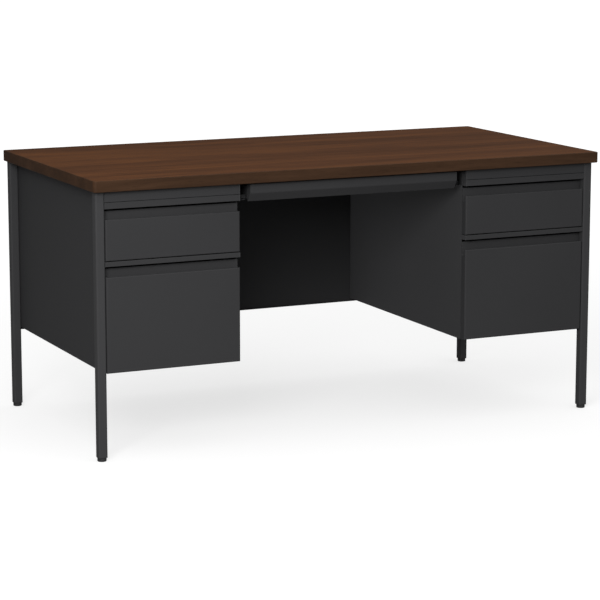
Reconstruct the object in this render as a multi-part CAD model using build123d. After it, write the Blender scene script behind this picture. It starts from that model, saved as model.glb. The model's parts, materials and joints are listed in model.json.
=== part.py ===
from build123d import *
import os

# Double-pedestal teacher desk: a walnut-faced top on four square-tube legs, with a box drawer
# and a file drawer on each side, a shallow centre drawer and a full-width modesty panel.
# Millimetres. The origin is on the floor under the middle of the top. +X is the sitter's right,
# -Y is the side with the drawers, +Z is up. Every sub-part is written to parts/NODE.step.

# ---- top -------------------------------------------------------------------------------
TOP_W = 1524.0
TOP_D = 762.0
TOP_H = 749.3
TOP_CORNER = 9.0
LAMINATE_T = 1.2
CORE_T = 28.0
BACKER_T = 1.0
BAND_T = 2.5
BAND_ROUND = 2.0
BARB_T = 2.0
BARB_D = 8.0
UNDER = TOP_H - LAMINATE_T - CORE_T - BACKER_T

# ---- legs and feet ---------------------------------------------------------------------
LEG = 25.4
LEG_WALL = 1.6
LEG_ROUND = 4.5
LEG_OUT_X = 752.0
FRONT_Y = -362.0
REAR_Y = 376.0
TUBE_FOOT_Z = 12.0
LEG_X = LEG_OUT_X - LEG / 2
LEG_IN_X = LEG_OUT_X - LEG
BUSH_FLANGE = 2.0
BUSH_PLUG = 20.0
STEM_R = 4.0
STEM_TOP_Z = 34.0
BORE_R = STEM_R + 0.05
GLIDE_R = 12.3
GLIDE_GAP = 0.4

# ---- sheet steel -----------------------------------------------------------------------
SHEET = 1.2
TRAY_SHEET = 1.0
TOP_FLANGE = 22.0
FLANGE_SHORT = 5.0
PAN_EDGE = 4.0

# ---- pedestal, right-hand one; the left one is its mirror image ------------------------
PED_IN_X = 343.5
PED_OUT_X = LEG_IN_X
PED_BOTTOM_Z = 234.0
PED_BACK_Y = 365.0
SIDE_FRONT_Y = FRONT_Y + 25.0
FASCIA_Y = FRONT_Y + 1.0
RAIL_D = 14.0
TOP_RAIL_Z = (690.0, 718.0)
HEAD_RAIL_Z = (672.0, 689.0)
MID_RAIL_Z = (520.0, 533.0)
POST_D = 15.0
POST_W = 30.0
POST_YS = (SIDE_FRONT_Y + 47.0, 170.0)
POST_Z = (240.0, 640.0)

# ---- drawers ---------------------------------------------------------------------------
FRONT_BACK_Y = SIDE_FRONT_Y - 1.0
FRONT_X = (PED_IN_X, PED_OUT_X - 1.8)
FACE_FOOT_ROUND = 2.5
EDGE_ROUND = 4.0
HEM_T = 6.0
HEM_ROUND = 2.6
HEM_BACK_ROUND = 1.4
PULL_IN = 19.5
PULL_DROP = 17.0
PULL_ROUND = 4.0
LIP_H = 21.0
LIP_ROUND = 1.6
BOX_FACE_Z = (535.0, 644.0)
FILE_FACE_Z = (236.0, 492.0)
SLIDE_T = 12.7
TRAY_X = (PED_IN_X + SHEET + POST_D + SLIDE_T, PED_OUT_X - SHEET - POST_D - SLIDE_T)
TRAY_MID_X = (TRAY_X[0] + TRAY_X[1]) / 2
BOX_TRAY_D = 560.0
BOX_TRAY_Z = (541.5, 654.0)
FILE_TRAY_D = 640.0
FILE_TRAY_Z = (242.0, 504.0)
STIFFENER_W = 40.0
STIFFENER_OFF = 105.0
FRONT_SCREW_IN = 28.0
FRONT_SCREW_L = 7.0
HANG_BAR_T = 2.5
HANG_BAR_Z = (497.0, 510.0)
HANG_BAR_OFF = 155.0

# ---- ball-bearing slides ---------------------------------------------------------------
SLIDE_H = 45.0
SLIDE_SHEET = 1.2
SLIDE_FRONT_Y = SIDE_FRONT_Y + 3.0
BOX_SLIDE_L = 550.0
BOX_SLIDE_Z = 597.0
FILE_SLIDE_L = 640.0
FILE_SLIDE_Z = 330.0
CABINET_MEMBER_D = 10.5
BOX_MEMBER_H = 34.0
BOX_MEMBER_D = 8.5
MIDDLE_MEMBER_H = 38.0
MIDDLE_MEMBER_X = (1.6, 9.9)
FILE_MEMBER_H = 26.0
FILE_MEMBER_D = 8.0
CAGE_L = 130.0
CAGE_FRONT_Y = -124.0
CAGE_X = 7.0
CAGE_T = 2.4
CAGE_W = 5.0
BALL_R = 1.75
BALLS = 5

# ---- centre drawer ---------------------------------------------------------------------
CENTRE_HALF_W = 313.0
CENTRE_FACE_Z = (690.0, 715.5)
CENTRE_LIP_Z = 667.0
CENTRE_LIP_IN = 16.0
CENTRE_BEND = 7.0
CENTRE_NOSE = 3.0
CENTRE_BACK_Y = FRONT_Y + 21.0
CENTRE_TRAY_HALF_W = 309.0
CENTRE_TRAY_D = 420.0
CENTRE_TRAY_Z = (672.5, 706.0)
HANGER_Y = (SIDE_FRONT_Y - 1.0, 100.0)
HANGER_Z = 671.0
HANGER_IN_X = 319.0
RUNNER_Y = (-325.0, 75.0)
RUNNER_H = 10.0
RUNNER_GAP = 0.5
RUNNER_SIDE_GAP = 2.0
RUNNER_ROUND = 4.0
INSERT_HALF_W = 270.0
INSERT_D = 96.0
INSERT_H = 20.0
INSERT_WALL = 2.0
INSERT_GAP = 1.0
POCKET_ROUND = 6.0
POCKET_SHARES = (0.0, 0.5, 0.75, 1.0)

# ---- modesty panel ---------------------------------------------------------------------
MODESTY_Y = 369.0
MODESTY_Z = 226.0
MODESTY_EDGE = 9.0
MODESTY_EDGE_SHORT = 3.0
MODESTY_KNEE_SHORT = 8.0
MODESTY_SCREW_IN = 35.0

# ---- screws ----------------------------------------------------------------------------
SCREW_R = 2.2
HOLE_PLAY = 0.3
HEAD_R = 4.5
HEAD_H = 2.4
TOP_SCREW_L = 18.0
TOP_SCREW_YS = (-250.0, -20.0, 210.0)
MODESTY_SCREW_L = 2.4
MODESTY_SCREW_ZS = (290.0, 485.0, 680.0)


def block(x0, x1, y0, y1, z0, z1):
    """A box between two corners."""
    centre = Pos((x0 + x1) / 2, (y0 + y1) / 2, (z0 + z1) / 2)
    return centre * Box(abs(x1 - x0), abs(y1 - y0), abs(z1 - z0))


def rounded_bar(half_x, half_y, radius, z0, z1, x=0.0, y=0.0):
    """An upright bar with a rounded rectangular section."""
    section = RectangleRounded(2 * half_x, 2 * half_y, radius)
    return Pos(x, y, z0) * extrude(section, z1 - z0)


def group(pieces):
    """Several loose solids kept as one node."""
    return Compound([solid for piece in pieces for solid in piece.solids()])


def other_side(piece):
    """The left-hand twin of a right-hand piece."""
    return mirror(piece, Plane.YZ)


def both_sides(piece):
    """A right-hand piece together with its left-hand twin."""
    return group([piece, other_side(piece)])


def pan_screw(length):
    """A pan-head screw that points up, with the underside of its head at the origin."""
    head = Pos(0, 0, -HEAD_H / 2) * Cylinder(HEAD_R, HEAD_H)
    head = fillet(head.edges().group_by(Axis.Z)[0], HEAD_H * 0.6)
    return head + Pos(0, 0, length / 2) * Cylinder(SCREW_R, length)


# ---- top -------------------------------------------------------------------------------
def top_screw_places():
    """Where screws rise through the four pedestal flanges into the top."""
    inner_x = PED_IN_X + SHEET + TOP_FLANGE * 0.55
    outer_x = PED_OUT_X - SHEET - TOP_FLANGE * 0.55
    return [(side * x, y) for side in (-1, 1) for x in (inner_x, outer_x) for y in TOP_SCREW_YS]


def screw_holes(z0, z1, radius):
    return [Pos(x, y, (z0 + z1) / 2) * Cylinder(radius, z1 - z0) for x, y in top_screw_places()]


def desktop_core():
    half_x = TOP_W / 2 - BAND_T
    half_y = TOP_D / 2 - BAND_T
    core_z = UNDER + BACKER_T
    core = rounded_bar(half_x, half_y, TOP_CORNER - BAND_T, core_z, core_z + CORE_T)
    slot = BARB_T + 0.2
    slot_z = core_z + (CORE_T - slot) / 2
    groove = rounded_bar(half_x + 1, half_y + 1, TOP_CORNER, slot_z, slot_z + slot)
    groove -= block(
        -half_x + BARB_D + 1, half_x - BARB_D - 1, -half_y + BARB_D + 1, half_y - BARB_D - 1,
        slot_z, slot_z + slot,
    )
    core -= groove
    for hole in screw_holes(core_z, UNDER + TOP_SCREW_L, SCREW_R):
        core -= hole
    return core


def desktop_laminate():
    top = TOP_H
    return rounded_bar(
        TOP_W / 2 - BAND_T, TOP_D / 2 - BAND_T, TOP_CORNER - BAND_T, top - LAMINATE_T, top
    )


def desktop_backer():
    sheet = rounded_bar(
        TOP_W / 2 - BAND_T, TOP_D / 2 - BAND_T, TOP_CORNER - BAND_T, UNDER, UNDER + BACKER_T
    )
    for hole in screw_holes(UNDER, UNDER + BACKER_T, SCREW_R + HOLE_PLAY):
        sheet -= hole
    return sheet


def desktop_edge_band():
    """The T-shaped edge moulding: a rounded band with a barb that sits in the core's groove."""
    band = rounded_bar(TOP_W / 2, TOP_D / 2, TOP_CORNER, UNDER, TOP_H)
    outline = band.edges().group_by(Axis.Z)
    band = fillet(outline[0] + outline[-1], BAND_ROUND)
    half_x = TOP_W / 2 - BAND_T
    half_y = TOP_D / 2 - BAND_T
    band -= rounded_bar(half_x, half_y, TOP_CORNER - BAND_T, UNDER - 1, TOP_H + 1)
    barb_z = UNDER + BACKER_T + (CORE_T - BARB_T) / 2
    barb = rounded_bar(half_x, half_y, TOP_CORNER - BAND_T, barb_z, barb_z + BARB_T)
    barb -= block(
        -half_x + BARB_D, half_x - BARB_D, -half_y + BARB_D, half_y - BARB_D,
        barb_z, barb_z + BARB_T,
    )
    return band + barb


def desktop_screws():
    """Screws whose heads bear on the pedestals' top flanges from below."""
    flange_z = UNDER - SHEET
    return group([Pos(x, y, flange_z) * pan_screw(TOP_SCREW_L) for x, y in top_screw_places()])


# ---- legs and feet ---------------------------------------------------------------------
def leg_places():
    front = FRONT_Y + LEG / 2
    rear = REAR_Y - LEG / 2
    return {
        "front_left": (-LEG_X, front),
        "front_right": (LEG_X, front),
        "rear_left": (-LEG_X, rear),
        "rear_right": (LEG_X, rear),
    }


def leg(x, y):
    half = LEG / 2
    tube = rounded_bar(half, half, LEG_ROUND, TUBE_FOOT_Z, UNDER, x, y)
    bore = half - LEG_WALL
    return tube - rounded_bar(bore, bore, LEG_ROUND - LEG_WALL, 0, TOP_H, x, y)


def foot_bushing(x, y):
    """The threaded plug in the tube's end, with a flange that covers the cut edge."""
    half = LEG / 2
    plug = half - LEG_WALL
    flange_z = TUBE_FOOT_Z - BUSH_FLANGE
    body = rounded_bar(half - 0.2, half - 0.2, LEG_ROUND, flange_z, TUBE_FOOT_Z, x, y)
    body += rounded_bar(
        plug, plug, LEG_ROUND - LEG_WALL, TUBE_FOOT_Z, TUBE_FOOT_Z + BUSH_PLUG, x, y
    )
    return body - Pos(x, y, TUBE_FOOT_Z) * Cylinder(BORE_R, 4 * BUSH_PLUG)


def levelling_glide(x, y):
    """A round foot on a screw stem. It is drawn screwed right in."""
    foot_h = TUBE_FOOT_Z - BUSH_FLANGE - GLIDE_GAP
    foot = Pos(0, 0, foot_h / 2) * Cylinder(GLIDE_R, foot_h)
    rims = foot.edges().group_by(Axis.Z)
    foot = fillet(rims[0], foot_h * 0.18)
    foot = fillet(foot.edges().group_by(Axis.Z)[-1], foot_h * 0.12)
    stem = Pos(0, 0, STEM_TOP_Z / 2 + 1) * Cylinder(STEM_R, STEM_TOP_Z - 2)
    stem = chamfer(stem.edges().group_by(Axis.Z)[-1], STEM_R * 0.25)
    return Pos(x, y, 0) * (foot + stem)


# ---- pedestal shell --------------------------------------------------------------------
def with_top_flange(panel, x0, x1):
    """Adds the flange that a side is screwed to the top by."""
    y0 = SIDE_FRONT_Y + FLANGE_SHORT
    y1 = PED_BACK_Y - FLANGE_SHORT
    panel += block(x0, x1, y0, y1, UNDER - SHEET, UNDER)
    for x, y in top_screw_places():
        panel -= Pos(x, y, UNDER) * Cylinder(SCREW_R + HOLE_PLAY, 4 * SHEET)
    return panel


def end_panel():
    """The outer side of a pedestal. It is welded to the inner faces of the two legs."""
    x_in = PED_OUT_X - SHEET
    panel = block(x_in, PED_OUT_X, FASCIA_Y + RAIL_D, PED_BACK_Y, PED_BOTTOM_Z, UNDER)
    return with_top_flange(panel, x_in - TOP_FLANGE, x_in)


def inner_side():
    """The knee-hole side of a pedestal, with ears that reach forward to carry the rails."""
    x_in = PED_IN_X + SHEET
    panel = block(PED_IN_X, x_in, SIDE_FRONT_Y, PED_BACK_Y, PED_BOTTOM_Z, UNDER)
    for z0, z1 in ((HEAD_RAIL_Z[0], TOP_RAIL_Z[1]), MID_RAIL_Z):
        panel += block(PED_IN_X, x_in, FASCIA_Y, SIDE_FRONT_Y, z0, z1)
    return with_top_flange(panel, x_in, x_in + TOP_FLANGE)


def pedestal_bottom():
    """A pan with a turned-up edge at the front and back."""
    x0 = PED_IN_X + SHEET
    x1 = PED_OUT_X - SHEET
    z1 = PED_BOTTOM_Z + SHEET
    pan = block(x0, x1, SIDE_FRONT_Y, PED_BACK_Y - SHEET, PED_BOTTOM_Z, z1)
    for y0 in (SIDE_FRONT_Y, PED_BACK_Y - 2 * SHEET):
        pan += block(x0, x1, y0, y0 + SHEET, z1, z1 + PAN_EDGE)
    return pan


def modesty_screw_places():
    """Two columns of screws behind each pedestal."""
    columns = (PED_IN_X + MODESTY_SCREW_IN, PED_OUT_X - MODESTY_SCREW_IN)
    return [(side * x, z) for side in (-1, 1) for x in columns for z in MODESTY_SCREW_ZS]


def modesty_screw_holes(y0, y1, radius):
    middle = (y0 + y1) / 2
    turn = Rot(90, 0, 0)
    return [
        Pos(x, middle, z) * turn * Cylinder(radius, y1 - y0) for x, z in modesty_screw_places()
    ]


def pedestal_back():
    """The back of a pedestal: a tray-shaped sheet whose face meets the modesty panel."""
    x0 = PED_IN_X + SHEET
    x1 = PED_OUT_X - SHEET
    z0 = PED_BOTTOM_Z
    z1 = UNDER - SHEET
    back = block(x0, x1, PED_BACK_Y - SHEET, MODESTY_Y, z0, z1)
    back -= block(x0 + SHEET, x1 - SHEET, 0, MODESTY_Y - SHEET, z0 + SHEET, z1 - SHEET)
    for hole in modesty_screw_holes(MODESTY_Y - 2 * SHEET, MODESTY_Y + SHEET, SCREW_R):
        back -= hole
    return back


def front_rail(z0, z1):
    """A channel across the front of a pedestal, open at the back."""
    x0 = PED_IN_X + SHEET
    x1 = PED_OUT_X
    y1 = FASCIA_Y + RAIL_D
    rail = block(x0, x1, FASCIA_Y, y1, z0, z1)
    front_edges = rail.edges().filter_by(Axis.X).group_by(Axis.Y)[0]
    rail = fillet(front_edges, SHEET)
    return rail - block(x0 - 1, x1 + 1, FASCIA_Y + SHEET, y1 + 1, z0 + SHEET, z1 - SHEET)


def slide_posts():
    """Upright hat sections that carry the slides, two on each wall of a pedestal."""
    posts = []
    for y in POST_YS:
        for x0, x1, web in (
            (PED_IN_X + SHEET, PED_IN_X + SHEET + POST_D, 1),
            (PED_OUT_X - SHEET - POST_D, PED_OUT_X - SHEET, -1),
        ):
            post = block(x0, x1, y, y + POST_W, *POST_Z)
            hollow = block(x0 - web * SHEET, x1 - web * SHEET, y + SHEET, y + POST_W - SHEET, *POST_Z)
            posts.append(post - hollow)
    return group(posts)


# ---- slides ----------------------------------------------------------------------------
def channel(x_web, x_lips, height, y0, length, z_mid):
    """A C-shaped slide member: its web is at x_web and its lips end at x_lips."""
    t = SLIDE_SHEET if x_lips > x_web else -SLIDE_SHEET
    half = height / 2
    outer = block(x_web, x_lips, y0, y0 + length, z_mid - half, z_mid + half)
    inside = block(
        x_web + t, x_lips + t, y0, y0 + length, z_mid - half + SLIDE_SHEET, z_mid + half - SLIDE_SHEET
    )
    return outer - inside


def on_both_walls(make):
    """Makes a slide member on each wall of a pedestal. make takes the wall's face and the way in."""
    inner = make(PED_IN_X + SHEET + POST_D, 1)
    outer = make(PED_OUT_X - SHEET - POST_D, -1)
    return [inner, outer]


def cabinet_members():
    def make(length, z_mid):
        return on_both_walls(
            lambda x, way: channel(
                x, x + way * CABINET_MEMBER_D, SLIDE_H, SLIDE_FRONT_Y, length, z_mid
            )
        )

    return group(make(BOX_SLIDE_L, BOX_SLIDE_Z) + make(FILE_SLIDE_L, FILE_SLIDE_Z))


def drawer_members(height, length, z_mid, reach):
    """The members on the drawer: their webs bear on the tray, and their lips reach outwards."""
    return group(
        on_both_walls(
            lambda x, way: channel(
                x + way * SLIDE_T, x + way * (SLIDE_T - reach), height, SLIDE_FRONT_Y, length, z_mid
            )
        )
    )


def middle_members():
    return group(
        on_both_walls(
            lambda x, way: channel(
                x + way * MIDDLE_MEMBER_X[0], x + way * MIDDLE_MEMBER_X[1], MIDDLE_MEMBER_H,
                SLIDE_FRONT_Y, FILE_SLIDE_L, FILE_SLIDE_Z,
            )
        )
    )


def ball_cages():
    """Strips with balls that run between the lips of the box drawer's slide members."""
    gap_mid = (SLIDE_H / 2 - SLIDE_SHEET + BOX_MEMBER_H / 2) / 2

    def make(x, way):
        strips = []
        for z in (BOX_SLIDE_Z - gap_mid, BOX_SLIDE_Z + gap_mid):
            x_mid = x + way * CAGE_X
            strip = block(
                x_mid - CAGE_W / 2, x_mid + CAGE_W / 2, CAGE_FRONT_Y, CAGE_FRONT_Y + CAGE_L,
                z - CAGE_T / 2, z + CAGE_T / 2,
            )
            step = CAGE_L / BALLS
            for k in range(BALLS):
                strip += Pos(x_mid, CAGE_FRONT_Y + (k + 0.5) * step, z) * Sphere(BALL_R)
            strips.append(strip)
        return group(strips)

    return group(on_both_walls(make))


# ---- drawers ---------------------------------------------------------------------------
def front_profile(face_z, gap, back):
    """A drawer front's section: the face, its folded top edge, the pull's trough and the lip.
    gap is how far inside the outer surface it is drawn."""
    z0, z1 = face_z
    y_face = FASCIA_Y + gap
    y_hem = FASCIA_Y + HEM_T - gap
    y_lip = FASCIA_Y + PULL_IN + gap
    z_floor = z1 - PULL_DROP - gap
    z_lip = z1 + LIP_H - gap
    corners = {
        (y_face, z0 + gap): FACE_FOOT_ROUND - gap,
        (y_face, z1 - gap): HEM_ROUND - gap,
        (y_hem, z1 - gap): HEM_BACK_ROUND - gap,
        (y_hem, z_floor): PULL_ROUND + gap,
        (y_lip, z_floor): PULL_ROUND + gap,
        (y_lip, z_lip): LIP_ROUND - gap,
    }
    outline = Polyline((back, z0 + gap), *corners, (back, z_lip), close=True)
    face = make_face(outline)
    for (y, z), radius in corners.items():
        face = fillet(face.vertices().sort_by_distance((y, z, 0))[0], radius)
    return face


def front_shell(face_z, gap, back):
    """The section drawn along the front, trimmed by a plan with rounded front corners."""
    x0 = FRONT_X[0] + gap
    x1 = FRONT_X[1] - gap
    body = Pos(x0, 0, 0) * extrude(Plane.YZ * front_profile(face_z, gap, back), x1 - x0)
    plan = block(x0, x1, FASCIA_Y + gap, back, PED_BOTTOM_Z, UNDER)
    uprights = plan.edges().filter_by(Axis.Z).group_by(Axis.Y)[0]
    return body & fillet(uprights, EDGE_ROUND - gap)


def drawer_front(face_z):
    """A folded front, open at the back, and the two stiffeners welded inside it.
    Fingers hook its top edge from the trough behind it."""
    z0, z1 = face_z
    sheet = front_shell(face_z, 0.0, FRONT_BACK_Y)
    sheet -= front_shell(face_z, SHEET, FRONT_BACK_Y + 5)
    z_top = z1 - PULL_DROP - 2 * SHEET
    places = [TRAY_MID_X + side * STIFFENER_OFF for side in (-1, 1)]
    return [sheet] + [stiffener(x, z0 + 2 * SHEET, z_top) for x in places]


def stiffener(x_mid, z0, z1):
    """An upright channel behind a drawer's face. The tray is screwed to its back."""
    half = STIFFENER_W / 2
    y0 = FASCIA_Y + SHEET
    y1 = FRONT_BACK_Y
    outer = block(x_mid - half, x_mid + half, y0, y1, z0, z1)
    inner = block(x_mid - half + SHEET, x_mid + half - SHEET, y0 - 1, y1 - SHEET, z0 - 1, z1 + 1)
    return outer - inner


def front_screw_places(face_z):
    z0, z1 = face_z
    return [
        (TRAY_MID_X + side * STIFFENER_OFF, z)
        for side in (-1, 1)
        for z in (z0 + FRONT_SCREW_IN, z1 - FRONT_SCREW_IN)
    ]


def front_screws(face_z):
    """Screws that hold a drawer's front, driven from inside the tray."""
    y = FRONT_BACK_Y + TRAY_SHEET
    return group([
        Pos(x, y, z) * Rot(90, 0, 0) * pan_screw(FRONT_SCREW_L)
        for x, z in front_screw_places(face_z)
    ])


def front_screw_holes(face_z):
    turn = Rot(90, 0, 0)
    return [
        Pos(x, FRONT_BACK_Y, z) * turn * Cylinder(SCREW_R, 5 * SHEET)
        for x, z in front_screw_places(face_z)
    ]


def with_holes(piece, holes):
    for hole in holes:
        piece -= hole
    return piece


def screwed_front(face_z):
    """A drawer front with holes for its screws."""
    sheet, *stiffeners = drawer_front(face_z)
    holes = front_screw_holes(face_z)
    return group([sheet] + [with_holes(piece, holes) for piece in stiffeners])


def drawer_tray(depth, tray_z, face_z):
    """A drawer's body: a sheet folded into two sides and a bottom, with a front and a back
    plate welded to its ends."""
    x0, x1 = TRAY_X
    z0, z1 = tray_z
    wall = TRAY_SHEET
    y0 = FRONT_BACK_Y
    y1 = y0 + depth
    wrap = block(x0, x1, y0 + wall, y1 - wall, z0, z1)
    wrap -= block(x0 + wall, x1 - wall, y0, y1, z0 + wall, z1 + 1)
    front_plate = with_holes(block(x0, x1, y0, y0 + wall, z0, z1), front_screw_holes(face_z))
    back_plate = block(x0, x1, y1 - wall, y1, z0, z1)
    return group([wrap, front_plate, back_plate])


def hanging_rails():
    """Two bars along the file drawer that hanging folders hook over."""
    y0 = FRONT_BACK_Y + TRAY_SHEET
    y1 = FRONT_BACK_Y + FILE_TRAY_D - TRAY_SHEET
    half = HANG_BAR_T / 2
    bars = []
    for side in (-1, 1):
        x = TRAY_MID_X + side * HANG_BAR_OFF
        bar = block(x - half, x + half, y0, y1, *HANG_BAR_Z)
        bars.append(fillet(bar.edges().filter_by(Axis.Y).group_by(Axis.Z)[-1], half * 0.8))
    return group(bars)


# ---- centre drawer ---------------------------------------------------------------------
def centre_front():
    """A shallow front whose lower part slopes inwards as a finger lip."""
    z0, z1 = CENTRE_FACE_Z
    y0 = FASCIA_Y
    y_lip = y0 + CENTRE_LIP_IN
    y_back = CENTRE_BACK_Y

    def shell(gap, half_w, back):
        outline = Polyline(
            (back, z1 - gap), (y0 + gap, z1 - gap), (y0 + gap, z0), (y_lip + gap, CENTRE_LIP_Z + gap),
            (back, CENTRE_LIP_Z + gap), close=True,
        )
        face = make_face(outline)
        bend = face.vertices().sort_by_distance((y0 + gap, z0, 0))[0]
        face = fillet(bend, CENTRE_BEND - gap)
        nose = face.vertices().sort_by_distance((y0 + gap, z1 - gap, 0))[0]
        face = fillet(nose, CENTRE_NOSE - gap)
        return Pos(-half_w, 0, 0) * extrude(Plane.YZ * face, 2 * half_w)

    return shell(0.0, CENTRE_HALF_W, y_back) - shell(SHEET, CENTRE_HALF_W - SHEET, y_back + 5)


def open_box(x0, x1, y0, y1, z0, z1, wall):
    """A sheet-metal tray with no lid."""
    outer = block(x0, x1, y0, y1, z0, z1)
    return outer - block(x0 + wall, x1 - wall, y0 + wall, y1 - wall, z0 + wall, z1 + 1)


def centre_tray():
    half = CENTRE_TRAY_HALF_W
    y0 = CENTRE_BACK_Y
    return open_box(-half, half, y0, y0 + CENTRE_TRAY_D, *CENTRE_TRAY_Z, TRAY_SHEET)


def hanger_channels():
    """Channels under the top that carry the centre drawer, one beside each pedestal."""
    x1 = PED_IN_X
    channel_body = block(HANGER_IN_X, x1, *HANGER_Y, HANGER_Z, UNDER)
    hollow = block(
        HANGER_IN_X - 1, x1 - SHEET, HANGER_Y[0] - 1, HANGER_Y[1] + 1, HANGER_Z + SHEET, UNDER - SHEET
    )
    return both_sides(channel_body - hollow)


def centre_runners():
    """Nylon rails on the tray's sides that slide on the channels' lower flanges."""
    z0 = HANGER_Z + SHEET + RUNNER_GAP
    x1 = PED_IN_X - SHEET - RUNNER_SIDE_GAP
    rail = block(CENTRE_TRAY_HALF_W, x1, *RUNNER_Y, z0, z0 + RUNNER_H)
    return both_sides(fillet(rail.edges().filter_by(Axis.Z), RUNNER_ROUND))


def pencil_insert():
    """A moulded tray at the front of the centre drawer, with three pockets."""
    y0 = CENTRE_BACK_Y + TRAY_SHEET + INSERT_GAP
    y1 = y0 + INSERT_D
    z0 = CENTRE_TRAY_Z[0] + TRAY_SHEET
    z1 = z0 + INSERT_H
    half = INSERT_HALF_W
    body = block(-half, half, y0, y1, z0, z1)
    for left, right in zip(POCKET_SHARES, POCKET_SHARES[1:]):
        x0 = -half + 2 * half * left + INSERT_WALL
        x1 = -half + 2 * half * right - INSERT_WALL
        pocket = block(x0, x1, y0 + INSERT_WALL, y1 - INSERT_WALL, z0 + INSERT_WALL, z1 + 1)
        body -= fillet(pocket.edges().filter_by(Axis.Z), POCKET_ROUND)
    return body


# ---- modesty panel ---------------------------------------------------------------------
def modesty_panel():
    """The back of the desk: one sheet between the rear legs, with a stiffening edge below."""
    x1 = LEG_IN_X
    y1 = MODESTY_Y + SHEET
    panel = block(-x1, x1, MODESTY_Y, y1, MODESTY_Z, UNDER)
    edge_x = x1 - MODESTY_EDGE_SHORT
    edge_y = MODESTY_Y - MODESTY_EDGE
    panel += block(-edge_x, edge_x, edge_y, MODESTY_Y, MODESTY_Z, MODESTY_Z + SHEET)
    knee = PED_IN_X - MODESTY_KNEE_SHORT
    panel += block(-knee, knee, MODESTY_Y - TOP_FLANGE, MODESTY_Y, UNDER - SHEET, UNDER)
    for hole in modesty_screw_holes(MODESTY_Y - SHEET, y1 + SHEET, SCREW_R):
        panel -= hole
    return panel


def modesty_screws():
    y = MODESTY_Y + SHEET
    return group([
        Pos(x, y, z) * Rot(90, 0, 0) * pan_screw(MODESTY_SCREW_L)
        for x, z in modesty_screw_places()
    ])


# ---- all the nodes ---------------------------------------------------------------------
def nodes():
    parts = {
        "desktop_core": desktop_core(),
        "desktop_laminate": desktop_laminate(),
        "desktop_backer": desktop_backer(),
        "desktop_edge_band": desktop_edge_band(),
        "desktop_screws": desktop_screws(),
        "modesty_panel": modesty_panel(),
        "modesty_screws": modesty_screws(),
        "foot_bushings": group([foot_bushing(x, y) for x, y in leg_places().values()]),
        "pedestal_backs": both_sides(pedestal_back()),
        "slide_posts": both_sides(slide_posts()),
        "slide_cabinet_members": both_sides(cabinet_members()),
        "centre_hanger_channels": hanger_channels(),
        "centre_drawer_front": centre_front(),
        "centre_drawer_tray": centre_tray(),
        "centre_drawer_runners": centre_runners(),
        "pencil_tray_insert": pencil_insert(),
    }
    for place, (x, y) in leg_places().items():
        parts[f"leg_{place}"] = leg(x, y)
        parts[f"levelling_glide_{place}"] = levelling_glide(x, y)
    paired = {
        "end_panel": end_panel(),
        "pedestal_inner_side": inner_side(),
        "pedestal_bottom": pedestal_bottom(),
        "pedestal_top_rail": front_rail(*TOP_RAIL_Z),
        "pedestal_head_rail": front_rail(*HEAD_RAIL_Z),
        "pedestal_divider_rail": front_rail(*MID_RAIL_Z),
        "box_drawer_front": screwed_front(BOX_FACE_Z),
        "box_drawer_tray": drawer_tray(BOX_TRAY_D, BOX_TRAY_Z, BOX_FACE_Z),
        "box_drawer_screws": front_screws(BOX_FACE_Z),
        "box_slide_members": drawer_members(BOX_MEMBER_H, BOX_SLIDE_L, BOX_SLIDE_Z, BOX_MEMBER_D),
        "box_slide_ball_cages": ball_cages(),
        "file_drawer_front": screwed_front(FILE_FACE_Z),
        "file_drawer_tray": drawer_tray(FILE_TRAY_D, FILE_TRAY_Z, FILE_FACE_Z),
        "file_drawer_screws": front_screws(FILE_FACE_Z),
        "file_slide_members": drawer_members(FILE_MEMBER_H, FILE_SLIDE_L, FILE_SLIDE_Z, FILE_MEMBER_D),
        "file_slide_middle_members": middle_members(),
        "file_hanging_rails": hanging_rails(),
    }
    for name, piece in paired.items():
        parts[f"{name}_right"] = piece
        parts[f"{name}_left"] = other_side(piece)
    return parts


os.makedirs("parts", exist_ok=True)
for name, piece in nodes().items():
    export_step(piece, f"parts/{name}.step")
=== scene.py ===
# %% [markdown]
# # A teacher desk, finished in Blender
# The desk's steel, top, slides and drawers arrive as a fixed model at their real size.
# This lesson gives every part the surface of the real thing, adds the small pieces that the
# working model draws plainly, and lights it like a catalogue page.

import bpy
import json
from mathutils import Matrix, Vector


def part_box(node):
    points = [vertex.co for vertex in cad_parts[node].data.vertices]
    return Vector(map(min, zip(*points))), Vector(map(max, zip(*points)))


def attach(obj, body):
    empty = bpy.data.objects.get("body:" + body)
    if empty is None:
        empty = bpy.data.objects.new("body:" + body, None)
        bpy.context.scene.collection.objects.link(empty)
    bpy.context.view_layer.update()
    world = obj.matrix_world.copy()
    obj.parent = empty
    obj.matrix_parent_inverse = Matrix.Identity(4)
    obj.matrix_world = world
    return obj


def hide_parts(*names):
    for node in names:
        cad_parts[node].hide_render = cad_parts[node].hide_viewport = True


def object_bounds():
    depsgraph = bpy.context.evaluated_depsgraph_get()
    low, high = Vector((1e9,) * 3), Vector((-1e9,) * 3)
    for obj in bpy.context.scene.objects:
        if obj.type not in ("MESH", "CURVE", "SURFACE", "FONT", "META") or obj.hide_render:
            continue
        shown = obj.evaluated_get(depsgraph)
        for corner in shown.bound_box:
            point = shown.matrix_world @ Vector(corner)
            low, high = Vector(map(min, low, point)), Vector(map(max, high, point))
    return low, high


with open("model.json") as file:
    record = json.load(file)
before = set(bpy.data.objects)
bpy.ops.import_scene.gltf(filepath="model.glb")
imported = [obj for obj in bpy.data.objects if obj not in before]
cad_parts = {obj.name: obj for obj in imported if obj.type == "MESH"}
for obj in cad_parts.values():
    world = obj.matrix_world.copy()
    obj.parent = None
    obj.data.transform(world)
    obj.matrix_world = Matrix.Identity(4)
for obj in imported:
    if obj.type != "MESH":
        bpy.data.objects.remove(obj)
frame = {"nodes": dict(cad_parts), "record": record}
cad_box = [list(corner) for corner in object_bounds()]
print("the model's box in metres:", cad_box)

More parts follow.
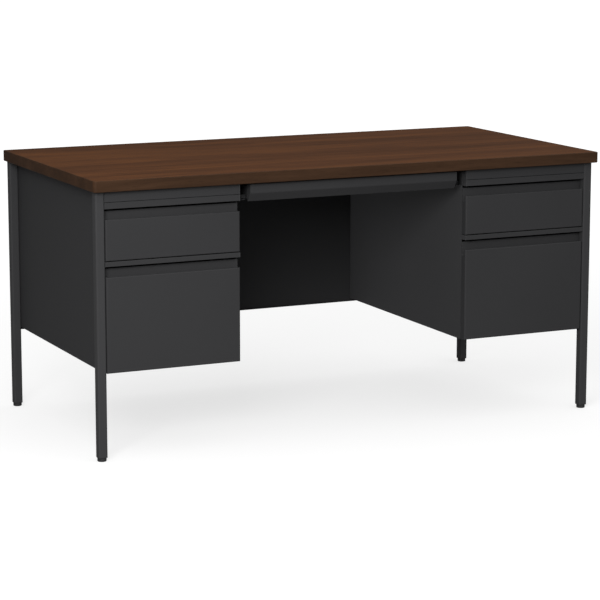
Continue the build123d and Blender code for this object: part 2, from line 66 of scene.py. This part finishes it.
# %% [markdown]
# ## Tools and units
# Blender works in metres and a maker works in millimetres. One factor, used wherever a real
# size is written, keeps the two apart.

# %% Tools and sizes
import json
import math

import bmesh
import bpy
from mathutils import Matrix, Vector

MM = 0.001
nodes = frame["nodes"]

# %% [markdown]
# ## Three small helpers
# Colours are picked as they look on a screen, which is sRGB. Blender mixes light in linear
# values, so one function does the change. The next adds one shader node, with its settings by
# name and its inputs as plain values or as other nodes' outputs. The last starts a material
# and measures places on the part in millimetres, so that every pattern below has a real size.

# %% Colour and node helpers
def paint(hex_text):
    channels = [int(hex_text[k:k + 2], 16) / 255 for k in (1, 3, 5)]
    linear = [c / 12.92 if c <= 0.04045 else ((c + 0.055) / 1.055) ** 2.4 for c in channels]
    return (*linear, 1.0)


def add(tree, kind, inputs=None, **settings):
    node = tree.nodes.new("ShaderNode" + kind)
    for name, value in settings.items():
        setattr(node, name, value)
    for name, value in (inputs or {}).items():
        if isinstance(value, bpy.types.NodeSocket):
            tree.links.new(value, node.inputs[name])
        else:
            node.inputs[name].default_value = value
    return node


def new_material(name):
    material = bpy.data.materials.new(name)
    material.use_nodes = True
    tree = material.node_tree
    shader = tree.nodes["Principled BSDF"]
    place = add(tree, "TexCoord").outputs["Object"]
    in_mm = add(tree, "VectorMath", {0: place, "Scale": 1 / MM}, operation="SCALE")
    return material, tree, shader, in_mm.outputs["Vector"]


print("mid grey in linear light:", [round(c, 3) for c in paint("#808080")[:3]])


# %% [markdown]
# ## Walnut laminate
# The top is decor paper pressed under melamine: dark walnut, with its grain running the length
# of the desk. It is one sheet, so there are no planks. Three noises make it, all drawn out
# along the desk: broad bands from years of fast and slow growth, growth lines that wander a
# little, and short dark pores. The pores of walnut are a tenth of a millimetre wide. Here they
# are 0.8 mm, or they would vanish at this distance. The satin press plate leaves a fine
# tooth, so the sheen is soft and wide.

# %% A wood-grain print
GRAIN_LONG = 1100.0
BAND_WIDE = 70.0
LINE_WIDE = 13.0
PORE_LONG = 30.0
PORE_WIDE = 0.8


def drawn_noise(tree, place, long_mm, wide_mm, detail):
    """Noise drawn out along X, the grain's direction."""
    stretch = (1 / long_mm, 1 / wide_mm, 1 / wide_mm)
    drawn = add(tree, "VectorMath", {0: place, 1: stretch}, operation="MULTIPLY").outputs[0]
    return add(tree, "TexNoise", {"Vector": drawn, "Scale": 1.0, "Detail": detail}).outputs["Fac"]


def wood_print(name, shades, roughness):
    """shades are the deep, middle and pale wood and the pores."""
    material, tree, shader, place = new_material(name)
    drift = drawn_noise(tree, place, GRAIN_LONG / 2, BAND_WIDE * 3, 1.0)
    shift = add(tree, "Math", {0: drift, 1: BAND_WIDE}, operation="MULTIPLY").outputs[0]
    sideways = add(tree, "CombineXYZ", {"Y": shift, "Z": shift}).outputs[0]
    bent = add(tree, "VectorMath", {0: place, 1: sideways}, operation="ADD").outputs[0]
    bands = drawn_noise(tree, bent, GRAIN_LONG, BAND_WIDE, 2.0)
    lines = drawn_noise(tree, bent, GRAIN_LONG / 3, LINE_WIDE, 4.0)
    pores = drawn_noise(tree, place, PORE_LONG, PORE_WIDE, 1.0)
    tone = add(tree, "Mix", {0: 0.5, 2: bands, 3: lines}, data_type="FLOAT").outputs[0]
    ramp = add(tree, "ValToRGB", {"Fac": tone})
    stops = ramp.color_ramp.elements
    stops[0].position = 0.36
    stops[1].position = 0.64
    middle = stops.new(0.5)
    for stop, shade in zip((stops[0], middle, stops[2]), shades):
        stop.color = paint(shade)
    pore = add(tree, "MapRange", {"Value": pores, 1: 0.28, 2: 0.40, 3: 0.6, 4: 0.0}).outputs[0]
    mixed = add(tree, "Mix", {0: pore, 6: ramp.outputs[0], 7: paint(shades[3])}, data_type="RGBA")
    tree.links.new(mixed.outputs[2], shader.inputs["Base Color"])
    satin = add(tree, "MapRange", {"Value": lines, 3: roughness - 0.06, 4: roughness + 0.06})
    tree.links.new(satin.outputs[0], shader.inputs["Roughness"])
    tooth = add(tree, "Bump", {"Strength": 0.4, "Distance": 0.05 * MM, "Height": pores})
    tree.links.new(tooth.outputs[0], shader.inputs["Normal"])
    shader.inputs["Specular IOR Level"].default_value = 0.05
    return material


walnut_laminate = wood_print(
    "walnut_melamine_laminate", ("#422610", "#4f2f18", "#5e391c", "#29170a"), 0.5
)
print("growth bands are about", BAND_WIDE, "mm wide")

# %% [markdown]
# The edge is a plastic T-moulding printed to match the top. Printed plastic is duller and a
# little redder than the laminate beside it, so it has its own shades and no melamine gloss.

# %% Edge moulding
edge_moulding = wood_print(
    "walnut_print_edge_moulding", ("#302117", "#38271b", "#402d20", "#22170f"), 0.55
)

# %% [markdown]
# ## Baked enamel on sheet steel
# The frame, panels and drawers are sprayed and baked in one charcoal colour. Sprayed enamel
# dries with a faint orange peel, and its sheen shifts slowly across a wide panel. The peel is a
# millimetre or two across. It is drawn at 3 mm so that it still breaks up a reflection here.
# Paint draws thin on a folded edge and is rubbed there by hands and chairs, so the edges are
# lighter, and that lighter edge is also a painted highlight along every edge: a bevelled
# normal differs from the true one only near an edge, so it finds those edges by itself.
# The legs are given a shade lighter paint than the sheet. That is painted light: it stands in
# for the extra light that the tubes catch on their rounded corners. That drawn tube takes a
# smoother coat than sheet is the likely reason, and is a guess.

# %% Enamel
PEEL = 3.0
SHEEN_DRIFT = 300.0
EDGE_WEAR_AND_HIGHLIGHT_REACH = 1.6


def enamel(name, shades, roughness):
    """shades are the dark and light of the coat, and its rubbed edges, which also carry a painted edge
    highlight.
    """
    material, tree, shader, place = new_material(name)
    drift = add(tree, "TexNoise", {"Vector": place, "Scale": 1 / SHEEN_DRIFT}).outputs["Fac"]
    coat = add(tree, "Mix", {0: drift, 6: paint(shades[0]), 7: paint(shades[1])}, data_type="RGBA")
    round_normal = add(tree, "Bevel", {"Radius": EDGE_WEAR_AND_HIGHLIGHT_REACH * MM}, samples=4).outputs[0]
    true_normal = add(tree, "NewGeometry").outputs["Normal"]
    facing = add(tree, "VectorMath", {0: round_normal, 1: true_normal}, operation="DOT_PRODUCT")
    # Lighter near every edge: rubbed paint, and also a painted highlight along the edge.
    edge_wear_and_highlight = add(tree, "MapRange", {"Value": facing.outputs["Value"], 1: 1.0, 2: 0.8, 3: 0.0, 4: 0.5})
    patchy = add(tree, "TexNoise", {"Vector": place, "Scale": 1 / 25.0, "Detail": 4.0}).outputs["Fac"]
    worn_and_painted_highlight = add(tree, "Math", {0: edge_wear_and_highlight.outputs[0], 1: patchy}, operation="MULTIPLY").outputs[0]
    colour = add(tree, "Mix", {0: worn_and_painted_highlight, 6: coat.outputs[2], 7: paint(shades[2])}, data_type="RGBA")
    tree.links.new(colour.outputs[2], shader.inputs["Base Color"])
    sheen = add(tree, "MapRange", {"Value": drift, 3: roughness - 0.05, 4: roughness + 0.05})
    tree.links.new(sheen.outputs[0], shader.inputs["Roughness"])
    peel = add(tree, "TexNoise", {"Vector": place, "Scale": 1 / PEEL, "Detail": 2.0}).outputs["Fac"]
    skin = add(tree, "Bump", {"Strength": 0.5, "Distance": 0.05 * MM, "Height": peel})
    tree.links.new(skin.outputs[0], shader.inputs["Normal"])
    shader.inputs["Specular IOR Level"].default_value = 0.08
    return material


charcoal_enamel = enamel("charcoal_baked_enamel", ("#303031", "#343435", "#5c5c5d"), 0.55)
# The legs' coat shades are painted lighter than the sheet's, which stands in for the light the tubes
# catch.
tube_enamel_painted_lighter = enamel("charcoal_enamel_painted_lighter_on_tube", ("#363637", "#3a3a3b", "#5c5c5d"), 0.5)
black_screw = enamel("black_oxide_screw", ("#18181a", "#1e1e20", "#4a4a4c"), 0.4)
print("orange peel is drawn", PEEL, "mm across")

# %% [markdown]
# ## Zinc-plated steel
# Slides, folder rails and inner screws are bright zinc: a metal, with a mottle a few
# millimetres across where the plate grew in patches, and long draw marks from rolling.

# %% Zinc plate
def zinc(name, shades, roughness):
    material, tree, shader, place = new_material(name)
    mottle = add(tree, "TexNoise", {"Vector": place, "Scale": 1 / 6.0, "Detail": 5.0}).outputs["Fac"]
    colour = add(
        tree, "Mix", {0: mottle, 6: paint(shades[0]), 7: paint(shades[1])}, data_type="RGBA"
    )
    tree.links.new(colour.outputs[2], shader.inputs["Base Color"])
    along = add(tree, "VectorMath", {0: place, 1: (2.0, 0.01, 2.0)}, operation="MULTIPLY")
    draw_marks = add(tree, "TexNoise", {"Vector": along.outputs[0], "Scale": 1.0}).outputs["Fac"]
    gloss = add(tree, "MapRange", {"Value": draw_marks, 3: roughness - 0.08, 4: roughness + 0.1})
    tree.links.new(gloss.outputs[0], shader.inputs["Roughness"])
    shader.inputs["Metallic"].default_value = 1.0
    return material


zinc_plate = zinc("zinc_plated_steel", ("#8f9194", "#b4b6b8"), 0.34)
zinc_screw = zinc("zinc_plated_screw", ("#8a8c8c", "#a9aaa6"), 0.3)
print("zinc finishes:", zinc_plate.name, "and", zinc_screw.name)

# %% [markdown]
# ## Plastics and board
# Feet, plugs and runners are moulded nylon, and the pencil tray is ABS from a spark-etched
# mould: a fine grit in the bump and nothing else. Particleboard is the same recipe grown
# coarse: pale and dark chips about 4 mm long, and a rough face.

# %% Moulded and pressed materials
def gritty(name, shades, grit_mm, depth_mm, roughness):
    material, tree, shader, place = new_material(name)
    grit = add(tree, "TexNoise", {"Vector": place, "Scale": 1 / grit_mm, "Detail": 3.0}).outputs["Fac"]
    colour = add(tree, "Mix", {0: grit, 6: paint(shades[0]), 7: paint(shades[1])}, data_type="RGBA")
    tree.links.new(colour.outputs[2], shader.inputs["Base Color"])
    skin = add(tree, "Bump", {"Strength": 0.6, "Distance": depth_mm * MM, "Height": grit})
    tree.links.new(skin.outputs[0], shader.inputs["Normal"])
    shader.inputs["Roughness"].default_value = roughness
    return material


black_nylon = gritty("black_moulded_nylon", ("#1c1c1d", "#262627"), 1.0, 0.03, 0.5)
tray_abs = gritty("black_abs_spark_etched", ("#1f1f21", "#29292b"), 0.8, 0.05, 0.55)
particleboard = gritty("particleboard", ("#7d6549", "#b39a74"), 4.0, 0.2, 0.85)
backer_sheet = gritty("brown_phenolic_backer", ("#2c241e", "#352c25"), 2.5, 0.03, 0.6)

# %% [markdown]
# ## One finish for each part
# The model's record gives every part a slot, which is the name of what it is made of. A table
# from slot to finish dresses all the parts in one loop. Only the four tubes differ from it: they
# get the enamel painted a shade lighter, which stands in for the light they catch.

# %% Give each part its finish
finish_of_slot = {
    "walnut_laminate": walnut_laminate,
    "walnut_edge_moulding": edge_moulding,
    "particleboard": particleboard,
    "backer_sheet": backer_sheet,
    "charcoal_enamel": charcoal_enamel,
    "zinc_steel": zinc_plate,
    "zinc_screws": zinc_screw,
    "black_screws": black_screw,
    "black_nylon": black_nylon,
    "moulded_tray": tray_abs,
}
for part in frame["record"]["subparts"]:
    mesh = nodes[part["node"]].data
    mesh.materials.clear()
    # The legs take the enamel painted lighter, which stands in for the light their tubes catch.
    tube = part["node"].startswith("leg_")
    mesh.materials.append(tube_enamel_painted_lighter if tube else finish_of_slot[part["material_slot"]])
print("finishes:", len(finish_of_slot))

# %% [markdown]
# ## Solids from rings
# Screws and feet are turned parts, so they can be built as rings of points stacked along an
# axis and skinned. A lathe in Blender (the Screw modifier) would do for a plain profile, but
# rings in code can also be fluted or threaded, because each point picks its own radius.

# %% Turning in code
TURNS = 40


def skin(work, rings):
    """Closes a stack of rings into a solid."""
    for below, above in zip(rings, rings[1:]):
        for k in range(len(below)):
            n = (k + 1) % len(below)
            work.faces.new((below[k], below[n], above[n], above[k]))
    work.faces.new(rings[0][::-1])
    work.faces.new(rings[-1])
    return work


def turned(heights, radius_at):
    """A solid about Z with a ring at each height; radius_at(ring number, share of a turn)."""
    work = bmesh.new()
    rings = []
    for number, height in enumerate(heights):
        ring = []
        for k in range(TURNS):
            angle = 2 * math.pi * k / TURNS
            r = radius_at(number, k / TURNS)
            ring.append(work.verts.new((r * math.cos(angle), r * math.sin(angle), height)))
        rings.append(ring)
    return skin(work, rings)


def to_object(name, work, scale=MM):
    mesh = bpy.data.meshes.new(name)
    bmesh.ops.scale(work, vec=(scale, scale, scale), verts=work.verts)
    work.to_mesh(mesh)
    work.free()
    piece = bpy.data.objects.new(name, mesh)
    bpy.context.scene.collection.objects.link(piece)
    return piece


print("turned parts have", TURNS, "sides")

# %% [markdown]
# ## Screws with a driver's cross in the head
# The working model draws the back's screws as plain buttons. Real ones are pan heads with a
# cross struck into them, so each is turned from a profile and a tapered cross is cut out of
# it. The cross is cut with a boolean, as the die cuts it: one tapered shape pushed into the
# head. Modelling its walls into the head by hand would give the same thing more slowly.

# %% A cross-recessed head
HEAD_ACROSS = 9.0
HEAD_TALL = 2.4
DOME_STARTS = 0.35
DOME_ANGLES = (0, 18, 36, 54, 72, 84)
SHANK_ACROSS = 4.4
SHANK_TIP = 0.9
SHANK_CHAMFER = 0.2
CROSS_ACROSS = 4.6
CROSS_WING = 1.1
CROSS_DEEP = 1.5
CROSS_TAPER = 0.45
CROSS_LEAST = 0.4
CUT_PAST = 0.3
SQUARE = ((-1, -1), (1, -1), (1, 1), (-1, 1))


def screw_blank():
    half = HEAD_ACROSS / 2
    shank = SHANK_ACROSS / 2
    profile = [(shank * SHANK_TIP, -HEAD_TALL), (shank, SHANK_CHAMFER - HEAD_TALL)]
    profile += [(shank, 0.0), (half, 0.0)]
    for angle in (math.radians(k) for k in DOME_ANGLES):
        rise = DOME_STARTS + (1 - DOME_STARTS) * math.sin(angle)
        profile.append((half * math.cos(angle), HEAD_TALL * rise))
    return turned([height for _, height in profile], lambda ring, share: profile[ring][0])


def cross_cutter():
    """Two tapered wings that cross, narrow end down, standing in the head's top."""
    work = bmesh.new()
    least = CROSS_WING * CROSS_LEAST
    levels = ((HEAD_TALL - CROSS_DEEP, CROSS_TAPER), (HEAD_TALL + CUT_PAST, 1.0))
    for long_way, short_way in ((CROSS_ACROSS / 2, CROSS_WING / 2), (CROSS_WING / 2, CROSS_ACROSS / 2)):
        rings = []
        for height, share in levels:
            w = max(long_way * share, least)
            t = max(short_way * share, least)
            rings.append([work.verts.new((x * w, y * t, height)) for x, y in SQUARE])
        skin(work, rings)
    return work


def cross_recessed_screw():
    head = to_object("cross_recessed_head", screw_blank())
    cutter = to_object("cross_cutter", cross_cutter())
    cut = head.modifiers.new("struck_cross", "BOOLEAN")
    cut.object = cutter
    cut.operation = "DIFFERENCE"
    cut.solver = "EXACT"
    cut.use_self = True
    bpy.context.view_layer.update()
    shaped = head.evaluated_get(bpy.context.evaluated_depsgraph_get())
    mesh = bpy.data.meshes.new_from_object(shaped)
    bpy.data.objects.remove(head)
    bpy.data.objects.remove(cutter)
    return mesh


screw_mesh = cross_recessed_screw()
print("one screw has", len(screw_mesh.polygons), "faces")

# %% [markdown]
# ## Where the screws go
# The model's plain screws say where the new ones go: each loose lump of their mesh is one
# screw, and its box gives the place. No place is typed in, so the screws follow the model.
# Nobody lines up the crosses when driving screws, so each is turned a little further.

# %% Finding the loose lumps
def loose_lumps(mesh):
    """The lowest and highest corner of each loose lump, in metres."""
    work = bmesh.new()
    work.from_mesh(mesh)
    bmesh.ops.remove_doubles(work, verts=work.verts, dist=1e-6)
    work.verts.ensure_lookup_table()
    unseen = set(range(len(work.verts)))
    lumps = []
    while unseen:
        front = [min(unseen)]
        unseen.remove(front[0])
        lump = []
        while front:
            vert = work.verts[front.pop()]
            lump.append(vert.co.copy())
            linked = {edge.other_vert(vert).index for edge in vert.link_edges} & unseen
            unseen -= linked
            front.extend(sorted(linked))
        lumps.append([[pick(co[k] for co in lump) for k in range(3)] for pick in (min, max)])
    work.free()
    return sorted(lumps)


# %% Setting the screws
TURN_EACH = math.radians(37)


def modesty_screws():
    every = bmesh.new()
    lumps = loose_lumps(nodes["modesty_screws"].data)
    upright = Matrix.Rotation(math.radians(-90), 4, "X")
    for number, (low, high) in enumerate(lumps):
        seat = Vector(((low[0] + high[0]) / 2, high[1] - HEAD_TALL * MM, (low[2] + high[2]) / 2))
        turn = Matrix.Rotation(TURN_EACH * number, 4, "Y")
        start = len(every.verts)
        every.from_mesh(screw_mesh)
        every.verts.ensure_lookup_table()
        placed = Matrix.Translation(seat) @ turn @ upright
        bmesh.ops.transform(every, matrix=placed, verts=every.verts[start:])
    piece = to_object("modesty_screws_cross_recessed", every, scale=1.0)
    piece.data.materials.append(black_screw)
    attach(piece, "desk")
    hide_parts("modesty_screws")
    return len(lumps)


print("screws with a struck cross:", modesty_screws())

# %% [markdown]
# ## Levelling glides with a real thread
# Each foot is a moulded nylon disc on a steel screw. The disc's rim has shallow flutes, so
# that fingers can turn it under a loaded leg, and the stem has an M8 thread, 1.25 mm to the
# turn, that shows once the foot is wound out. The thread is geometry and not a bump, because
# a bump would leave the stem's outline straight.

# %% The fluted disc
FLUTES = 20
FLUTE_DEEP = 0.35
FOOT_GAP = 0.4
UNDERSIDE_EDGE = 0.5
RIM_STARTS = 1.8
TOP_EDGE = 1.0
RIM_INSETS = (1.5, 0.4, 0.0, 0.0, 0.9)


def flute(share):
    return FLUTE_DEEP * (0.5 - 0.5 * math.cos(FLUTES * 2 * math.pi * share))


def fluted_disc(radius, foot_top):
    heights = (0.0, UNDERSIDE_EDGE, RIM_STARTS, foot_top - TOP_EDGE, foot_top)
    return turned(heights, lambda ring, share: radius - RIM_INSETS[ring] - flute(share))


print("each disc has", FLUTES, "flutes")


# %% The threaded stem
THREAD_PITCH = 1.25
THREAD_DEEP = 0.6
STEM_RADIUS = 3.98
STEM_SUNK = 1.0
RINGS_PER_PITCH = 6


def threaded_stem(low, high):
    """A stem whose radius falls and rises once per pitch along a helix."""
    steps = round((high - low) / THREAD_PITCH * RINGS_PER_PITCH)
    heights = [low + (high - low) * step / steps for step in range(steps + 1)]

    def radius_at(ring, share):
        phase = (heights[ring] / THREAD_PITCH - share) % 1.0
        return STEM_RADIUS - THREAD_DEEP * abs(2 * phase - 1)

    return turned(heights, radius_at)


# %% Feet in place
def glide(place):
    node = "levelling_glide_" + place
    low, high = (Vector(corner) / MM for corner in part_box(node))
    centre = Vector(((low.x + high.x) / 2 * MM, (low.y + high.y) / 2 * MM, 0.0))
    foot_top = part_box("foot_bushings")[0][2] / MM - FOOT_GAP
    disc = to_object("glide_disc_" + place, fluted_disc((high.x - low.x) / 2, foot_top))
    disc.data.materials.append(black_nylon)
    stem = to_object("glide_stem_" + place, threaded_stem(foot_top - STEM_SUNK, high.z))
    stem.data.materials.append(zinc_screw)
    for piece, finish in ((disc, "black_nylon"), (stem, "zinc_screws")):
        piece.location = centre
        bpy.context.view_layer.update()
        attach(piece, "glide_" + place)
        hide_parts(node)


for place in ("front_left", "front_right", "rear_left", "rear_right"):
    glide(place)
print("threads turn every", THREAD_PITCH, "mm")

# %% [markdown]
# ## A white floor that stays out of the way
# A charcoal desk on a white floor picks up so much light from below that its panels turn grey.
# A photographer hangs black cards out of view to stop that. Here the floor does both jobs: the
# camera sees a white table, softly lit from within so that shadows stay pale, and the desk's
# panels see a dark one. No real floor does that: it is a choice made for the picture.

# %% Floor
FLOOR_HALF = 40.0
FLOOR_GLOW = 0.69
FAR_GLOW = 0.85
GLOW_FROM = 1500.0
GLOW_TO = 5000.0


def floor_material():
    material, tree, shader, place = new_material("lit_white_table")
    seen = add(tree, "LightPath").outputs["Is Camera Ray"]
    # Far from the desk the table glows up to meet the white wall.
    away = add(tree, "VectorMath", {0: place}, operation="LENGTH").outputs["Value"]
    rise = {"Value": away, 1: GLOW_FROM, 2: GLOW_TO, 3: FLOOR_GLOW, 4: FAR_GLOW}
    strength = add(tree, "MapRange", rise).outputs[0]
    glow = add(tree, "Emission", {"Color": paint("#ffffff"), "Strength": strength}).outputs[0]
    matt = add(tree, "BsdfDiffuse", {"Color": paint("#989898")}).outputs[0]
    white = add(tree, "AddShader", {0: glow, 1: matt}).outputs[0]
    card = add(tree, "BsdfDiffuse", {"Color": paint("#8a8a8a")}).outputs[0]
    both = add(tree, "MixShader", {0: seen, 1: card, 2: white}).outputs[0]
    tree.links.new(both, tree.nodes["Material Output"].inputs["Surface"])
    tree.nodes.remove(shader)
    return material


def floor():
    mesh = bpy.data.meshes.new("studio_floor")
    corners = [(x * FLOOR_HALF, y * FLOOR_HALF, 0) for x, y in ((-1, -1), (1, -1), (1, 1), (-1, 1))]
    mesh.from_pydata(corners, [], [(0, 1, 2, 3)])
    mesh.materials.append(floor_material())
    plane = bpy.data.objects.new("studio_floor", mesh)
    bpy.context.scene.collection.objects.link(plane)


floor()
print("floor:", 2 * FLOOR_HALF, "metres across")

# %% [markdown]
# ## Light
# One huge overhead softbox, tipped towards the drawers, is drawn into the sky: brightest along
# its own axis and dark behind the desk, where a bright sky would only glare off the top. It
# leans a little to the right as well, which leaves the left end panel darker than the drawers.
# A smaller box at the front left lifts the near drawers a little over the far ones.

# %% Sky
SKY_TIP = math.radians(20)
SKY_LEAN = math.radians(10)
SKY_BRIGHT = 1.3
SKY_DARK = 0.06
WHITE_WALL = 1.1


def sky():
    world = bpy.data.worlds.new("tipped_softbox")
    bpy.context.scene.world = world
    world.use_nodes = True
    tree = world.node_tree
    tree.nodes.clear()
    toward = add(tree, "TexCoord").outputs["Generated"]
    axis = Vector((math.sin(SKY_LEAN), -math.sin(SKY_TIP), math.cos(SKY_TIP))).normalized()
    facing = add(tree, "VectorMath", {0: toward, 1: axis}, operation="DOT_PRODUCT").outputs["Value"]
    glow = add(tree, "MapRange", {"Value": facing, 3: SKY_DARK, 4: SKY_BRIGHT}).outputs[0]
    seen = add(tree, "LightPath").outputs["Is Camera Ray"]
    strength = add(tree, "Mix", {0: seen, 2: glow, 3: WHITE_WALL}, data_type="FLOAT").outputs[0]
    backdrop = add(tree, "Background", {"Color": paint("#ffffff"), "Strength": strength})
    add(tree, "OutputWorld", {"Surface": backdrop.outputs[0]})


sky()
print("the sky's softbox tips", round(math.degrees(SKY_TIP)), "degrees forward")

# %% [markdown]
# The smaller box is an area lamp: a rectangle that gives off light, so that its shadows are
# soft. It is aimed at the middle of the desk, which the model's own box gives.

# %% Lamp
BOX_SIZE = (1.6, 1.2)
middle = sum((Vector(corner) for corner in cad_box), Vector()) / 2


def softbox(name, place, target, size, watts):
    lamp = bpy.data.lights.new(name, "AREA")
    lamp.shape = "RECTANGLE"
    lamp.size, lamp.size_y = size
    lamp.energy = watts
    box = bpy.data.objects.new(name, lamp)
    box.location = place
    box.rotation_euler = (Vector(target) - Vector(place)).to_track_quat("-Z", "Y").to_euler()
    bpy.context.scene.collection.objects.link(box)
    return box


softbox("front_softbox", (-2.3, -3.0, 1.8), middle, BOX_SIZE, 112.0)
print("softbox of", BOX_SIZE, "metres")

# %% [markdown]
# The panel beside the knee space would sink into black, so a small card stands across from it.
# Flags keep a real card's light off the floor and the back. Light linking is Blender's flag:
# the card lights only the parts in its own collection. No real card is that exact, and the
# panel is darker under plain light, so this too is a choice made for the picture.

# %% Knee card
knee_card = softbox("knee_card", (-0.33, 0.2, 0.42), (0.3, 0.2, 0.42), (0.45, 0.35), 1.9)
knee_card.visible_camera = False
lit = bpy.data.collections.new("lit_by_knee_card")
lit.objects.link(nodes["pedestal_inner_side_right"])
knee_card.light_linking.receiver_collection = lit

# %% [markdown]
# The back is turned away from both lamps. A third softbox stands behind for anyone who walks
# round, flagged off the top so that it makes no glare there.

# %% Back softbox
back_softbox = softbox("back_softbox", (0.9, 3.2, 1.6), middle, BOX_SIZE, 110.0)
lit_behind = bpy.data.collections.new("lit_by_back_softbox")
for name in ("modesty_panel", "leg_rear_left", "leg_rear_right"):
    lit_behind.objects.link(nodes[name])
lit_behind.objects.link(bpy.data.objects["modesty_screws_cross_recessed"])
back_softbox.light_linking.receiver_collection = lit_behind

# %% [markdown]
# ## Camera
# A long lens from the front left, a little above the top, keeps the desk's upright edges
# nearly parallel. The small shift frames the desk without tilting those edges.

# %% Camera
VIEW_AZIMUTH = math.radians(-24.91)
VIEW_ELEVATION = math.radians(9.99)
VIEW_DISTANCE = 6.592
AIM = Vector((-0.0155, 0.0, 0.3779))


def camera():
    data = bpy.data.cameras.new("catalogue_camera")
    data.sensor_width = 36.0
    data.lens = 137.25
    data.shift_x = 0.0088
    data.shift_y = -0.0343
    view = bpy.data.objects.new("catalogue_camera", data)
    away = Vector((
        math.sin(VIEW_AZIMUTH) * math.cos(VIEW_ELEVATION),
        -math.cos(VIEW_AZIMUTH) * math.cos(VIEW_ELEVATION),
        math.sin(VIEW_ELEVATION),
    ))
    view.location = AIM + away * VIEW_DISTANCE
    view.rotation_euler = away.to_track_quat("Z", "Y").to_euler()
    bpy.context.scene.collection.objects.link(view)
    bpy.context.scene.camera = view


camera()
bpy.context.scene.view_settings.view_transform = "Standard"
print("the camera stands", VIEW_DISTANCE, "metres away")
